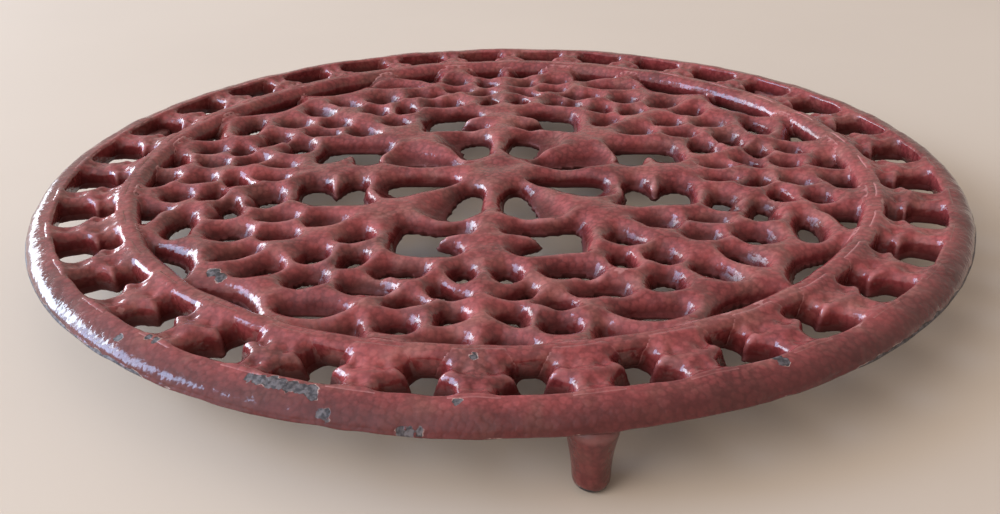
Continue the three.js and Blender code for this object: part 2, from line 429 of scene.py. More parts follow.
def new_mesh(name: str, points: Rows, faces: Sequence[Sequence[int]],
             finish: bpy.types.Material) -> bpy.types.Object:
    """Makes a smooth-shaded mesh object at the origin.

    Args:
        name: object name.
        points: rows of x, y and z in millimetres.
        faces: corner numbers of each face.
        finish: its material.

    Returns:
        The object, linked to the scene.
    """
    mesh = bpy.data.meshes.new(name)
    mesh.from_pydata((points * MM).tolist(), [], [list(map(int, face)) for face in faces])
    mesh.validate()
    mesh.shade_smooth()
    mesh.materials.append(finish)
    piece = bpy.data.objects.new(name, mesh)
    bpy.context.scene.collection.objects.link(piece)
    return piece


def seat(piece: bpy.types.Object, nodes: Sequence[str]) -> None:
    """Ties a finished piece to the body and to the nodes that it stands for.

    Args:
        piece: the finished mesh object.
        nodes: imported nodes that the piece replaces.
    """
    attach(piece, BODY)
    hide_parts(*nodes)
    log.info("%s: %d faces, stands for %d nodes", piece.name, len(piece.data.polygons), len(nodes))


@dataclass(frozen=True)
class SurfaceNet:
    """Meshes the zero surface of a field with one vertex for each cell that the surface crosses."""

    low: tuple[float, float, float]
    high: tuple[float, float, float]
    step: tuple[float, float, float]
    relax_rounds: int = 4
    relax_share: float = 0.5  # how far a vertex goes towards the mean of its neighbours
    pulls: int = 2  # how often it is then pulled back to the surface
    longest_pull: float = 0.35  # as a share of the finest step
    nudge: float = 0.04  # distance to each side over which the slope is read, in millimetres
    least_slope: float = 0.05  # least squared slope that a pull is divided by

    def axes(self) -> list[Rows]:
        """Grid values along x, y and z, which run a little past the box."""
        return [np.arange(lo - gap, hi + 1.5 * gap, gap)
                for lo, hi, gap in zip(self.low, self.high, self.step)]

    def build(self, solid: Field) -> tuple[Rows, Rows]:
        """Meshes a solid.

        Args:
            solid: field of x, y and z in millimetres, negative inside.

        Returns:
            Points and four-cornered faces, which point outwards.
        """
        x, y, z = self.axes()
        values = solid(x[:, None, None], y[None, :, None], z[None, None, :])
        values = np.broadcast_to(values, (len(x), len(y), len(z)))
        inside = values < 0
        corners = [(i, j, k) for i in (0, 1) for j in (0, 1) for k in (0, 1)]
        shape = tuple(n - 1 for n in values.shape)
        filled = sum(inside[i:i + shape[0], j:j + shape[1], k:k + shape[2]].astype(np.int8)
                     for i, j, k in corners)
        crossed = np.argwhere((filled > 0) & (filled < 8))
        number = np.full(shape, -1, dtype=int)
        number[tuple(crossed.T)] = np.arange(len(crossed))
        points = self.place(values, crossed, corners, (x, y, z))
        faces = self.faces(inside, number)
        return self.relax(points, faces, solid), faces

    @staticmethod
    def place(values: Rows, crossed: Rows, corners: Sequence[tuple[int, int, int]],
              axes: Sequence[Rows]) -> Rows:
        """Puts each cell's vertex at the mean of the crossings on its edges.

        Args:
            values: field values at the grid points.
            crossed: rows of cell numbers.
            corners: the eight corner offsets.
            axes: grid values along x, y and z.

        Returns:
            Rows of points.
        """
        spots = [crossed + corner for corner in corners]
        at_corner = [values[tuple(spot.T)] for spot in spots]
        place = [np.stack([axes[n][spot[:, n]] for n in range(3)], axis=1) for spot in spots]
        total = np.zeros((len(crossed), 3))
        count = np.zeros(len(crossed))
        for a, b in ((a, b) for a in range(8) for b in range(a + 1, 8)):
            if sum(p != q for p, q in zip(corners[a], corners[b])) != 1:
                continue
            change = (at_corner[a] < 0) != (at_corner[b] < 0)
            gap = np.where(change, at_corner[a] - at_corner[b], 1)
            share = np.where(change, at_corner[a] / gap, 0)
            total += change[:, None] * (place[a] + (place[b] - place[a]) * share[:, None])
            count += change
        return total / count[:, None]

    @staticmethod
    def faces(inside: Rows, number: Rows) -> Rows:
        """Joins the vertices of the four cells round each grid edge that crosses the surface.

        Args:
            inside: whether each grid point is inside.
            number: vertex number of each cell.

        Returns:
            Rows of four vertex numbers.
        """
        found = []
        for axis in range(3):
            one, two = (axis + 1) % 3, (axis + 2) % 3
            ahead = np.roll(inside, -1, axis=axis)
            change = inside != ahead
            change[tuple(slice(-1, None) if n == axis else slice(None) for n in range(3))] = False
            spots = np.argwhere(change)
            spots = spots[(spots[:, one] > 0) & (spots[:, two] > 0)]
            keep = (spots[:, one] < number.shape[one]) & (spots[:, two] < number.shape[two])
            spots = spots[keep]
            ring = []
            for back_one, back_two in ((1, 1), (0, 1), (0, 0), (1, 0)):
                cell = spots.copy()
                cell[:, one] -= back_one
                cell[:, two] -= back_two
                ring.append(number[tuple(cell.T)])
            quads = np.stack(ring, axis=1)
            outward = inside[tuple(spots.T)]
            found.append(np.where(outward[:, None], quads, quads[:, ::-1]))
        return np.concatenate(found)

    def relax(self, points: Rows, faces: Rows, solid: Field) -> Rows:
        """Evens out the mesh and pulls it back onto the surface.

        Args:
            points: rows of points.
            faces: rows of four vertex numbers.
            solid: the field.

        Returns:
            The moved points.
        """
        ends = np.concatenate([faces[:, [i, (i + 1) % 4]] for i in range(4)])
        degree = np.bincount(ends[:, 0], minlength=len(points))
        far = self.longest_pull * min(self.step)
        for _ in range(self.relax_rounds):
            middle = np.stack([np.bincount(ends[:, 0], points[ends[:, 1], n], minlength=len(points))
                               for n in range(3)], axis=1) / degree[:, None]
            points = points + self.relax_share * (middle - points)
            for _ in range(self.pulls):
                points = points + self.pull(points, solid, far)
        return points

    def pull(self, points: Rows, solid: Field, far: float) -> Rows:
        """Step that takes points back to the surface.

        Args:
            points: rows of points.
            solid: the field.
            far: longest step in millimetres.

        Returns:
            Rows of moves.
        """
        slope = np.empty_like(points)
        for n in range(3):
            shift = np.zeros(3)
            shift[n] = self.nudge
            change = solid(*(points + shift).T) - solid(*(points - shift).T)
            slope[:, n] = change / (2 * self.nudge)
        steep = np.maximum((slope ** 2).sum(axis=1), self.least_slope)
        move = -slope * (solid(*points.T) / steep)[:, None]
        length = np.maximum(np.linalg.norm(move, axis=1) / far, 1)
        return move / length[:, None]


class LaceMap:
    """Distance into the iron from the nearest hole, over one eighth of the lace."""

    MARGIN = 4.0  # how far the grid runs past the eighth, in millimetres, and twice that outwards
    WIDTH = 0.75  # width of the eighth as a share of the radius, and a little more
    REACH = 7.0  # distances are measured up to this, in millimetres
    PAST_EDGE = 6  # how far past the lace's edge an open outline is closed, in hundredths
    LAST_CELL = 1.001  # keeps a reading inside the grid's last cell

    def __init__(self, radius: float, draft: float, step: float = 0.4, corner: float = 0.5) -> None:
        """Measures the distances on a grid, at the top and at the underside.

        Args:
            radius: the lace's radius in millimetres.
            draft: how much tighter a wide hole is at the underside, in millimetres.
            step: grid step in millimetres.
            corner: how softly the ridge between two holes is rounded, in millimetres.
        """
        self.percent = radius / 100
        self.step = step
        self.corner = corner
        across = np.arange(-self.MARGIN, radius * self.WIDTH + self.MARGIN, step)
        out = np.arange(-self.MARGIN, radius + 2 * self.MARGIN, step)
        spot = np.stack(np.meshgrid(across, out, indexing="ij"), axis=-1).reshape(-1, 2)
        totals = np.zeros((2, len(spot)))
        for hole in LACE_HOLES:
            upper = self.outline(hole.points, hole.edge)
            lower = self.outline(hole.low_points or hole.points, hole.edge)
            tight = 0.0 if hole.low_points else draft
            for view in (spot, spot * (-1, 1), spot[:, ::-1]):
                self.add(totals[0], view, upper, 0.0)
                self.add(totals[1], view, lower, tight)
        depth = -corner * np.log(np.maximum(totals, math.exp(-self.REACH / corner)))
        self.grid = depth.reshape(2, len(across), len(out))

    def outline(self, points: Sequence[Sequence[float]], edge: Edge) -> Rows:
        """Draws a hole as a closed polygon.

        Args:
            points: the hole's drawn points.
            edge: how the outline ends.

        Returns:
            Rows of across and out in millimetres.
        """
        knots = np.array(points, dtype=float) * self.percent
        if edge is Edge.CLOSED:
            return smooth_curve(knots, closed=True)
        curve = smooth_curve(knots, closed=False)
        past = (100 + self.PAST_EDGE) * self.percent
        first = curve[0] * (past / np.linalg.norm(curve[0]))
        last = curve[-1] * (past / np.linalg.norm(curve[-1]))
        middle = first + last
        middle *= past / np.linalg.norm(middle)
        return np.vstack([curve, last, middle, first])

    def add(self, total: Rows, spot: Rows, outline: Rows, tight: float) -> None:
        """Adds one hole's share to the soft minimum of the distances.

        Args:
            total: sum so far, changed in place.
            spot: rows of across and out.
            outline: the hole's polygon.
            tight: how much tighter the hole is than its outline. A small hole keeps some opening.
        """
        low = outline.min(axis=0) - self.REACH
        high = outline.max(axis=0) + self.REACH
        near = np.flatnonzero(((spot >= low) & (spot <= high)).all(axis=1))
        if not len(near):
            return
        distance = outline_distance(spot[near], outline)
        tight = min(tight, -HOLE_KEPT * distance.min())
        total[near] += np.exp(-np.maximum(distance + max(tight, 0.0), -self.REACH) / self.corner)

    def at(self, x: Rows, y: Rows, level: Rows) -> Rows:
        """Reads the distance at points of the whole lace.

        Args:
            x: places in millimetres.
            y: places in millimetres.
            level: 0 at the underside and 1 at the top.

        Returns:
            Distance into the iron, negative inside a hole.
        """
        across = np.minimum(np.abs(x), np.abs(y))
        out = np.maximum(np.abs(x), np.abs(y))
        rows, columns = self.grid.shape[1:]
        i = np.clip((across + self.MARGIN) / self.step, 0, rows - self.LAST_CELL)
        j = np.clip((out + self.MARGIN) / self.step, 0, columns - self.LAST_CELL)
        a, b = i.astype(int), j.astype(int)
        s, t = i - a, j - b
        near = self.grid[:, a, b] * (1 - t) + self.grid[:, a, b + 1] * t
        far = self.grid[:, a + 1, b] * (1 - t) + self.grid[:, a + 1, b + 1] * t
        upper, lower = near * (1 - s) + far * s
        return lower + (upper - lower) * level


def smooth_curve(knots: Rows, closed: bool) -> Rows:
    """Runs a centripetal curve through points.

    Args:
        knots: rows of two values.
        closed: whether the last point joins the first.

    Returns:
        Rows along the curve. A closed curve doesn't repeat its first point.
    """
    count = len(knots)
    if closed:
        path = np.vstack([knots[-1], knots, knots[:2]])
        spans = count
    else:
        path = np.vstack([2 * knots[0] - knots[1], knots, 2 * knots[-1] - knots[-2]])
        spans = count - 1
    share = np.arange(CURVE_STEPS) / CURVE_STEPS
    rows = []
    for n in range(spans):
        p = path[n:n + 4]
        gaps = np.sqrt(np.linalg.norm(np.diff(p, axis=0), axis=1))
        before, here, after = (p[n + 1] - p[n] for n in range(3))
        leave = before / gaps[0] - (p[2] - p[0]) / (gaps[0] + gaps[1]) + here / gaps[1]
        meet = here / gaps[1] - (p[3] - p[1]) / (gaps[1] + gaps[2]) + after / gaps[2]
        leave, meet = leave * gaps[1], meet * gaps[1]
        for t in share:
            rows.append(p[1] + leave * t + (3 * here - 2 * leave - meet) * t ** 2
                        + (2 * (p[1] - p[2]) + leave + meet) * t ** 3)
    if not closed:
        rows.append(path[-2])
    return np.array(rows)


def outline_distance(spot: Rows, outline: Rows) -> Rows:
    """Signed distance from points to a closed polygon.

    Args:
        spot: rows of two values.
        outline: the polygon's corners.

    Returns:
        Distances, negative inside the polygon.
    """
    nearest = np.full(len(spot), np.inf)
    within = np.zeros(len(spot), dtype=bool)
    for start, end in zip(outline, np.roll(outline, -1, axis=0)):
        edge = end - start
        off = spot - start
        share = np.clip(off @ edge / max(edge @ edge, TINY), 0, 1)
        gap = off - share[:, None] * edge
        nearest = np.minimum(nearest, (gap ** 2).sum(axis=1))
        spans = (start[1] > spot[:, 1]) != (end[1] > spot[:, 1])
        if edge[1]:
            within ^= spans & (off[:, 0] < edge[0] * off[:, 1] / edge[1])
    return np.where(within, -1, 1) * np.sqrt(nearest)


def lathe(profile: Rows, sides: int) -> tuple[Rows, Rows]:
    """Turns a closed profile round the Z axis.

    Args:
        profile: rows of radius and height, counted anticlockwise seen with the axis on the left.
        sides: steps round the axis.

    Returns:
        Points and four-cornered faces, which point outwards.
    """
    count = len(profile)
    radius, height = np.tile(profile, (sides, 1)).T
    turn = np.repeat(np.arange(sides) * 2 * math.pi / sides, count)
    points = np.stack([radius * np.cos(turn), radius * np.sin(turn), height], axis=1)
    here = np.arange(sides)[:, None] * count + np.arange(count)[None, :]
    after = np.roll(here, -1, axis=0)
    faces = np.stack([here, after, np.roll(after, -1, axis=1), np.roll(here, -1, axis=1)], axis=-1)
    return points, faces.reshape(-1, 4)


def arc(centre: tuple[float, float], reach: tuple[float, float], start: float, end: float,
        steps: int) -> list[tuple[float, float]]:
    """Points on an elliptical arc.

    Args:
        centre: radius and height of the centre.
        reach: half axes along radius and height.
        start: first angle in degrees.
        end: last angle in degrees.
        steps: how many steps.

    Returns:
        Radius and height of each point.
    """
    angles = np.radians(np.linspace(start, end, steps + 1))
    return [(centre[0] + reach[0] * math.cos(a), centre[1] + reach[1] * math.sin(a)) for a in angles]


@dataclass
class Bead:
    """Raised ring between the lace and the border: a narrow level crest, longer on the lace side."""

    plan: Casting
    sink: float = 0.2  # leaves room above the crest for the swells
    round_in: float = 2.7  # width of the rounding on the lace side
    fall_in: float = 3.0  # height of that rounding
    round_out: float = 1.3  # width of the rounding on the border side
    fall_out: float = 1.6  # height of that rounding
    under_round: float = 2.2
    under_steps: int = 6
    outer_steps: int = 8
    inner_steps: int = 12
    sides: int = 720

    @property
    def middle(self) -> float:
        """Radius halfway between the two faces."""
        return self.plan.bead_outer - self.plan.bead_width / 2

    @property
    def height(self) -> float:
        """Height of the crest above the underside."""
        return self.plan.bead_crest - self.sink - self.plan.underside

    def field(self, radius: Rows, z: Rows) -> Rows:
        """Field of the ring, negative inside.

        Args:
            radius: distance from the axis.
            z: height above the underside.

        Returns:
            About the distance from the surface, in millimetres.
        """
        outside = radius - self.plan.bead_outer
        inside = self.plan.bead_inner - radius
        low = self.under_round
        return common(rounded_edge(outside, z - self.height, self.round_out, self.fall_out),
                      rounded_edge(inside, z - self.height, self.round_in, self.fall_in),
                      rounded_edge(outside, -z, low, low), rounded_edge(inside, -z, low, low))

    def build(self, finish: bpy.types.Material) -> bpy.types.Object:
        """Makes the ring.

        Args:
            finish: its material.

        Returns:
            The finished mesh object.
        """
        base = self.plan.underside
        top, low = base + self.height, self.under_round
        outer_face, inner_face = self.plan.bead_outer, self.plan.bead_inner
        outer = arc((outer_face - low, base + low), (low, low), -90, 0, self.under_steps)
        outer += arc((outer_face - self.round_out, top - self.fall_out),
                     (self.round_out, self.fall_out), 0, 90, self.outer_steps)
        inner = arc((inner_face + self.round_in, top - self.fall_in),
                    (self.round_in, self.fall_in), 90, 180, self.inner_steps)
        inner += arc((inner_face + low, base + low), (low, low), 180, 270, self.under_steps)
        points, faces = lathe(np.array(outer + inner), self.sides)
        return new_mesh("bead", UNEVEN.move(points), faces, finish)


@dataclass
class Rim:
    """Rounded outer band with a thin lower edge."""

    plan: Casting
    crest_inset: float = 5.95  # from the outer edge
    crown: float = 0.65  # fall from the crest to the inner wall
    edge_lift: float = 2.4  # height of the thin edge above the underside
    under_bevel: float = 2.6  # how far the bevel runs in under the edge
    under_round: float = 2.2
    edge_round: float = 0.25
    nose_lift: float = 0.15
    outer_lift: float = 0.25
    bevel_shares: tuple[float, ...] = (1, 0.7, 0.4, 0.1)  # where points stand along the bevel
    wall_drops: tuple[float, ...] = (0.7, 1.3)  # points on the inner wall, below its shoulder
    nose_steps: int = 3
    outer_steps: int = 16
    inner_steps: int = 12
    under_steps: int = 6
    sides: int = 864

    @property
    def crest(self) -> float:
        """Radius of the crest."""
        return self.plan.disc_radius - self.crest_inset

    @property
    def height(self) -> float:
        """Height of the crest above the underside."""
        return self.plan.rim_crest - self.plan.underside

    def field(self, radius: Rows, z: Rows) -> Rows:
        """Field of the rim's inner half, negative inside.

        Args:
            radius: distance from the axis.
            z: height above the underside.

        Returns:
            About the distance from the surface, in millimetres.
        """
        reach = self.crest - self.plan.rim_inner
        top = oval(np.maximum(self.crest - radius, 0), np.maximum(z - self.height + self.crown, 0),
                   reach, self.crown)
        wall = self.plan.rim_inner - radius
        return np.maximum(top, rounded_edge(wall, -z, self.under_round, self.under_round))

    def build(self, finish: bpy.types.Material) -> bpy.types.Object:
        """Makes the rim.

        Args:
            finish: its material.

        Returns:
            The finished mesh object.
        """
        base = self.plan.underside
        edge, wall_face = self.plan.disc_radius - self.edge_round, self.plan.rim_inner
        lift, low = self.edge_lift, self.under_round
        bevel = [(edge - self.under_bevel * s, base + lift * (1 - s)) for s in self.bevel_shares]
        nose = arc((edge, base + lift + self.nose_lift), (self.edge_round, self.edge_round),
                   -50, 15, self.nose_steps)
        outer = arc((self.crest, base + lift + self.outer_lift),
                    (edge - self.crest, self.height - lift - self.outer_lift), 4, 90, self.outer_steps)
        shoulder = base + self.height - self.crown
        inner = arc((self.crest, shoulder), (self.crest - wall_face, self.crown),
                    96, 180, self.inner_steps)
        wall = [(wall_face, shoulder - drop) for drop in self.wall_drops]
        under = arc((wall_face + low, base + low), (low, low), 180, 270, self.under_steps)
        profile = np.array(bevel + nose + outer + inner + wall + under)
        points, faces = lathe(profile, self.sides)
        return new_mesh("rim", UNEVEN.move(points), faces, finish)


@dataclass
class Lace:
    """Pierced panel: eight petals round a boss, and rows of small holes out to the bead."""

    plan: Casting
    bead: Bead
    edge_width: float = 2.2
    edge_height: float = 2.0
    under_round: float = 0.8
    draft: float = 2.3  # how much tighter a wide hole is at the underside
    web_dip: float = 0.4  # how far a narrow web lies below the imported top
    web_rise: float = 0.6  # how much higher a wide web stands
    wide_web: float = 4.6  # half width of a web that stands at its full height
    web_power: float = 0.8  # below 1, narrow webs gain height first
    mould_shift: tuple[float, float] = (-0.68, -0.49)  # how far the lace lies off the disc's middle
    fillet: float = 1.3
    bowl: float = 2.0  # how early a hole opens, upwards from the underside
    lean: float = 1.12  # level distance for each millimetre square to a hole's sloping wall
    bury: float = 0.8  # how far the webs run in under the bead
    sunk: float = 0.8  # how deep their ends lie under its skin
    step: float = 0.76
    step_up: float = 0.9
    map: LaceMap = field(init=False)

    def __post_init__(self) -> None:
        """Measures the holes once."""
        self.map = LaceMap(self.plan.bead_inner, self.draft)

    def crown(self, depth: Rows) -> Rows:
        """Height of the top above the underside: wide webs stand a little higher.

        Args:
            depth: distance into the iron from the nearest hole.

        Returns:
            Heights in millimetres.
        """
        thickness = self.plan.lace_top - self.plan.underside
        wide = np.clip(depth / self.wide_web, 0, 1) ** self.web_power
        return thickness - self.web_dip + self.web_rise * wide

    def solid(self, x: Rows, y: Rows, z: Rows) -> Rows:
        """Field of the panel with its fillet against the bead, negative inside.

        Args:
            x: places in millimetres.
            y: places in millimetres.
            z: heights above the underside.

        Returns:
            About the distance from the surface, in millimetres.
        """
        height = self.plan.lace_top - self.plan.underside
        level = np.clip(z / height, 0, 1)
        open_share = 1 - (1 - level) ** self.bowl
        depth = self.map.at(x - self.mould_shift[0], y - self.mould_shift[1], open_share)
        side = -depth / self.lean
        top = rounded_edge(side, z - self.crown(depth), self.edge_width, self.edge_height)
        under = rounded_edge(side, -z, self.under_round, self.under_round)
        radius = np.hypot(x, y)
        iron = common(top, under, radius - self.plan.bead_inner - self.bury)
        ring = self.bead.field(radius, z)
        skirt = iron - self.fillet * FILLET_END
        inside = radius - self.bead.middle
        return common(weld(iron, ring, self.fillet), skirt, -(ring + self.sunk), inside, -z)

    def build(self, finish: bpy.types.Material) -> bpy.types.Object:
        """Makes the panel.

        Args:
            finish: its material.

        Returns:
            The finished mesh object.
        """
        wide = self.plan.bead_outer
        tall = self.plan.bead_crest - self.plan.underside
        net = SurfaceNet((-wide, -wide, 0), (wide, wide, tall), (self.step, self.step, self.step_up))
        points, faces = net.build(self.solid)
        points[:, 2] += self.plan.underside
        return new_mesh("lace", UNEVEN.move(points), faces, finish)


@dataclass
class BorderBars:
    """The short bars between the bead and the rim: wide by the bead, pointed, then narrow.

    A bump's centre and width are shares of the way from the bead, 0, to the rim, 1.
    """

    plan: Casting
    bead: Bead
    rim: Rim
    count: int = 32
    inner_waist: float = 4.35  # half width on the bead's side
    outer_waist: float = 3.0  # half width on the rim's side
    narrow_run: float = 0.26  # how long the change between them is, as a share of the bar
    cusp: Bump = Bump(1.1, 0.35, 0.09)
    flare: Bump = Bump(1.1, 1.06, 0.13)
    root: Bump = Bump(0.5, -0.05, 0.12)
    rise_in: Bump = Bump(0.75, -0.12, 0.22)
    rise_out: Bump = Bump(0.6, 1.12, 0.26)
    pits: Bump = Bump(0.75, 0.24, 0.1)
    pit_off: float = 2.5  # distance of the pits from the middle line
    pit_half: float = 1.1
    lump: Bump = Bump(0.3, 0.5, 0.1)
    lump_half: float = 2.0
    groove: Bump = Bump(0.65, 0.77, 0.13)
    groove_half: float = 1.3
    swell: float = 0.1  # how much wider the widest bar is than the mean, as a share
    widest: float = -60.0  # bearing of the widest bar in degrees
    draft: float = 1.6  # how much wider each side is at the underside, by the bead
    outer_draft: float = 0.8  # the same by the rim
    top: float = 5.15  # height above the underside
    edge_width: float = 1.7
    edge_height: float = 1.9
    fillet: float = 1.0
    bury: float = 1.5  # how far the ends run in under the bead
    rim_bury: float = 0.5  # how far they run in under the rim
    sunk: float = 0.8  # how deep the ends lie under the skin of bead and rim
    under_round: float = 0.6
    half_box: float = 10.5  # half width of the space that is meshed
    box_margin: float = 1.0  # how far that space runs past the bead's middle and the rim's crest
    step: float = 0.52

    def narrow(self, share: Rows) -> Rows:
        """How far a place has gone over from the inner hollow, 0, to the outer one, 1.

        Args:
            share: 0 at the bead and 1 at the rim.

        Returns:
            Values from 0 to 1.
        """
        return eased((share - self.cusp.centre) / self.narrow_run)

    def half_width(self, share: Rows) -> Rows:
        """Half width of the top: wide by the bead, a cusp, then a narrow waist before the rim.

        Args:
            share: 0 at the bead and 1 at the rim.

        Returns:
            Half widths in millimetres.
        """
        waist = self.inner_waist + (self.outer_waist - self.inner_waist) * self.narrow(share)
        return waist + self.cusp.at(share) + self.flare.at(share) + self.root.at(share)

    def crown(self, share: Rows, y: Rows) -> Rows:
        """Height of the bar's top: it rises to both ends, with two pits, a lump and a groove.

        Args:
            share: 0 at the bead and 1 at the rim.
            y: distance from the bar's middle line in millimetres.

        Returns:
            Heights above the underside in millimetres.
        """
        ends = self.rise_in.at(share) + self.rise_out.at(share)
        sides = hump(y, self.pit_off, self.pit_half) + hump(y, -self.pit_off, self.pit_half)
        pits = self.pits.at(share) * sides
        lump = self.lump.at(share) * hump(y, 0, self.lump_half)
        groove = self.groove.at(share) * hump(y, 0, self.groove_half)
        return self.top + ends + lump - pits - groove

    def solid(self, x: Rows, y: Rows, z: Rows) -> Rows:
        """Field of the bar along +X with its fillets against bead and rim, negative inside.

        Args:
            x: places in millimetres.
            y: places in millimetres.
            z: heights above the underside.

        Returns:
            About the distance from the surface, in millimetres.
        """
        radius = np.hypot(x, y)
        share = (radius - self.plan.bead_outer) / (self.plan.rim_inner - self.plan.bead_outer)
        lean = math.hypot(1, self.draft / self.top)
        draft = self.draft + (self.outer_draft - self.draft) * self.narrow(share)
        side = (np.abs(y) - self.half_width(share) - draft * (1 - z / self.top)) / lean
        top = rounded_edge(side, z - self.crown(share, y), self.edge_width, self.edge_height)
        ends = np.maximum(radius - self.plan.rim_inner - self.rim_bury,
                          self.plan.bead_outer - radius - self.bury)
        under = rounded_edge(side, -z, self.under_round, self.under_round)
        iron = common(top, under, ends)
        ring = self.bead.field(radius, z)
        band = self.rim.field(radius, z)
        welded = weld(weld(iron, ring, self.fillet), band, self.fillet)
        skirt = iron - self.fillet * FILLET_END
        buried = -np.minimum(ring, band) - self.sunk
        return common(welded, skirt, buried, -z)

    def build(self, finish: bpy.types.Material) -> bpy.types.Object:
        """Makes one bar and sets it round the disc.

        Args:
            finish: its material.

        Returns:
            The finished mesh object.
        """
        tall = self.plan.bead_crest - self.plan.underside
        low = (self.bead.middle - self.box_margin, -self.half_box, 0.0)
        high = (self.rim.crest + self.box_margin, self.half_box, tall)
        points, faces = SurfaceNet(low, high, (self.step,) * 3).build(self.solid)
        points[:, 2] += self.plan.underside
        bar = new_mesh("border_bars", points, faces, finish)
        return settle(ring_copies(bar, self.count, 0.0, finish, self.swell, self.widest))


@dataclass
class Feet:
    """Short tapered feet under the rim."""

    plan: Casting
    count: int = 3
    bearing: float = -79.4  # of the first foot, in degrees
    inset: float = 5.0  # from the disc's edge to a foot's axis
    top_radius: float = 4.7
    tip_radius: float = 3.3
    sole_radius: float = 1.6
    tip_round: float = 2.2
    tip_steps: int = 5
    taper: float = 1.6  # above 1, the shank stays narrow for longer
    shank_start: float = 0.1  # first height on the shank, as a share
    shank_steps: int = 12
    sole_ring: float = 0.6  # radius of a ring inside the sole, as a share
    buried: float = 2.0  # how far a foot runs up into the disc
    sides: int = 48

    def build(self, finish: bpy.types.Material) -> bpy.types.Object:
        """Makes one foot and sets it round the disc.

        Args:
            finish: its material.

        Returns:
            The finished mesh object.
        """
        height, low = self.plan.underside, self.tip_round
        sole = [(LEAST, 0.0), (self.sole_radius * self.sole_ring, 0.0)]
        tip = arc((self.sole_radius, low), (self.tip_radius - self.sole_radius, low),
                  -90, 0, self.tip_steps)
        shank = [(self.tip_radius + (self.top_radius - self.tip_radius) * s ** self.taper,
                  low + (height - low) * s) for s in np.linspace(self.shank_start, 1, self.shank_steps)]
        top = [(self.top_radius, height + self.buried), (LEAST, height + self.buried)]
        points, faces = lathe(np.array(sole + tip + shank + top), self.sides)
        points[:, 0] += self.plan.disc_radius - self.inset
        foot = new_mesh("feet", points, faces, finish)
        return settle(ring_copies(foot, self.count, self.bearing, finish))


def ring_copies(unit: bpy.types.Object, count: int, first_bearing: float, finish: bpy.types.Material,
                swell: float = 0.0, widest: float = 0.0) -> bpy.types.Object:
    """Repeats a piece round the Z axis with a node tree and makes the result a plain mesh.

    Args:
        unit: the piece at bearing 0, at its real place.
        count: how many copies.
        first_bearing: direction of the first copy in degrees.
        finish: material of every copy.
        swell: how much wider the widest copy is than the mean, as a share.
        widest: bearing of the widest copy in degrees.

    Returns:
        One object with every copy.
    """
    inputs = {
        "Copies": ("NodeSocketInt", count),
        "First bearing": ("NodeSocketFloat", math.radians(first_bearing)),
        "Turn": ("NodeSocketFloat", 2 * math.pi / count),
        "Finish": ("NodeSocketMaterial", finish),
        "Swell": ("NodeSocketFloat", swell),
        "Widest": ("NodeSocketFloat", math.radians(widest)),
    }
    tree = bpy.data.node_groups.new(f"copies of {unit.name}", "GeometryNodeTree")
    face = tree.interface
    face.new_socket("Geometry", in_out="INPUT", socket_type="NodeSocketGeometry")
    sockets = {name: face.new_socket(name, in_out="INPUT", socket_type=kind)
               for name, (kind, _) in inputs.items()}
    face.new_socket("Geometry", in_out="OUTPUT", socket_type="NodeSocketGeometry")
    given = add_node(tree, "NodeGroupInput").outputs
    place = add_node(tree, "GeometryNodePoints", inputs={"Count": given["Copies"]})
    number = add_node(tree, "GeometryNodeInputIndex")
    turned = add_node(tree, "ShaderNodeMath", {"operation": "MULTIPLY_ADD"},
                      {0: number.outputs[0], 1: given["Turn"], 2: given["First bearing"]})
    spin = add_node(tree, "ShaderNodeCombineXYZ", inputs={"Z": turned.outputs[0]})
    off = add_node(tree, "ShaderNodeMath", {"operation": "SUBTRACT"},
                   {0: turned.outputs[0], 1: given["Widest"]})
    near = add_node(tree, "ShaderNodeMath", {"operation": "COSINE"}, {0: off.outputs[0]})
    wide = add_node(tree, "ShaderNodeMath", {"operation": "MULTIPLY_ADD"},
                    {0: near.outputs[0], 1: given["Swell"], 2: 1.0})
    size = add_node(tree, "ShaderNodeCombineXYZ", inputs={"X": 1.0, "Y": wide.outputs[0], "Z": 1.0})
    copies = add_node(tree, "GeometryNodeInstanceOnPoints",
                      inputs={"Points": place.outputs[0], "Instance": given["Geometry"],
                              "Rotation": spin.outputs[0], "Scale": size.outputs[0]})
    real = add_node(tree, "GeometryNodeRealizeInstances", inputs={0: copies.outputs[0]})
    dressed = add_node(tree, "GeometryNodeSetMaterial",
                       inputs={"Geometry": real.outputs[0], "Material": given["Finish"]})
    add_node(tree, "NodeGroupOutput", inputs={0: dressed.outputs[0]})
    modifier = unit.modifiers.new("copies", "NODES")
    modifier.node_group = tree
    for name, (_, value) in inputs.items():
        modifier[sockets[name].identifier] = value
    return plain_copy(unit)


def plain_copy(piece: bpy.types.Object) -> bpy.types.Object:
    """Replaces a piece with live modifiers by its plain evaluated mesh.

    Args:
        piece: the object with modifiers, which is removed.

    Returns:
        A new object of the same name without modifiers.
    """
    name = piece.name
    graph = bpy.context.evaluated_depsgraph_get()
    mesh = bpy.data.meshes.new_from_object(piece.evaluated_get(graph))
    bpy.data.objects.remove(piece)
    mesh.name = name
    mesh.shade_smooth()
    plain = bpy.data.objects.new(name, mesh)
    bpy.context.scene.collection.objects.link(plain)
    return plain


def settle(piece: bpy.types.Object) -> bpy.types.Object:
    """Gives a finished piece the casting's slow unevenness.

    Args:
        piece: mesh object at the origin.

    Returns:
        The same object.
    """
    flat = np.empty(len(piece.data.vertices) * 3)
    piece.data.vertices.foreach_get("co", flat)
    moved = UNEVEN.move(flat.reshape(-1, 3) / MM) * MM
    piece.data.vertices.foreach_set("co", moved.ravel())
    piece.data.update()
    return piece


